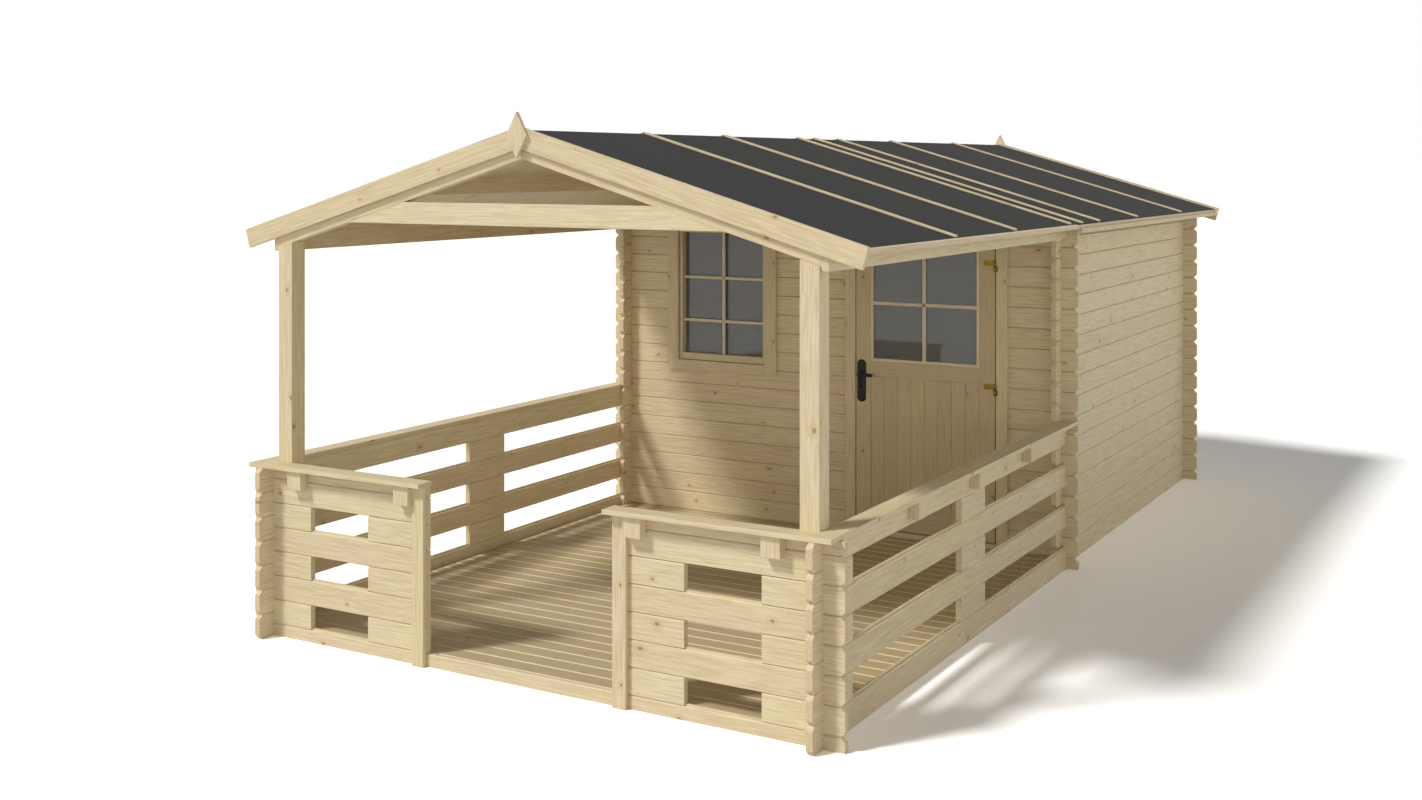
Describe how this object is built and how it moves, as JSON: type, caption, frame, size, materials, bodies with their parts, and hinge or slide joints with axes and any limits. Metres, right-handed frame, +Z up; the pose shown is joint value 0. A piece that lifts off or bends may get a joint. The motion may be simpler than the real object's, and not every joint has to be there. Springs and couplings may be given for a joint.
{
  "type": "log cabin with porch",
  "caption": "Log cabin with interlocking corners, a half-glazed door, a barred window and a felted gable roof that covers a railed front porch.",
  "frame": {"origin": "on the ground, at the middle of the object's length and width", "axes": "+Z up, +X to the right when facing the porch front, +Y from the porch front to the back wall"},
  "size_m": [3.21, 6.074, 2.4052],
  "materials": {
    "spruce": "planed and untreated",
    "felt": "mineral faced, matt",
    "glass": "clear, polished",
    "hinge_brass": "satin",
    "black_handle": "black powder coat"
  },
  "bodies": {
    "cabin": {"roof_purlins": "spruce", "bottom_half_logs": "spruce", "front_wall_left": "spruce", "front_wall_right": "spruce", "front_gable": "spruce", "back_wall": "spruce", "left_wall": "spruce", "right_wall": "spruce", "porch_floor": "spruce", "cabin_floor": "spruce", "floor_joists": "spruce", "front_panel_left": "spruce", "front_panel_right": "spruce", "entrance_trims": "spruce", "side_rails": "spruce", "rail_spacers": "spruce", "front_caps": "spruce", "side_caps": "spruce", "cap_brackets": "spruce", "porch_posts": "spruce", "eave_beams": "spruce", "front_rafter_left": "spruce", "front_rafter_right": "spruce", "tie_beam": "spruce", "roof_boards_left": "spruce", "roof_boards_right": "spruce", "roof_felt_left": "felt", "roof_felt_right": "felt", "eave_strips": "spruce", "roof_battens": "spruce", "barge_boards_left": "spruce", "barge_boards_right": "spruce", "finials": "spruce", "door_jambs": "spruce", "door_head": "spruce", "door_threshold": "spruce", "door_hinge_pins": "hinge_brass", "window_frame": "spruce", "window_sash": "spruce", "window_glass": "glass"},
    "door": {"door_leaf": "spruce", "door_glass": "glass", "door_hinge_straps": "hinge_brass", "door_handle_plates": "black_handle"},
    "lever": {"door_lever": "black_handle"}
  },
  "joints": [
    {"name": "door_hinge", "type": "hinge", "parent": "cabin", "child": "door", "pos_m": [1.034, 0.024, 0.9385], "axis": [0, 0, 1], "range_deg": [0, 100]},
    {"name": "lever_turn", "type": "hinge", "parent": "door", "child": "lever", "pos_m": [0.228, 0.052, 0.977], "axis": [0, 1, 0], "range_deg": [0, 40], "stiffness_Nm_per_rad": 0.5}
  ]
}
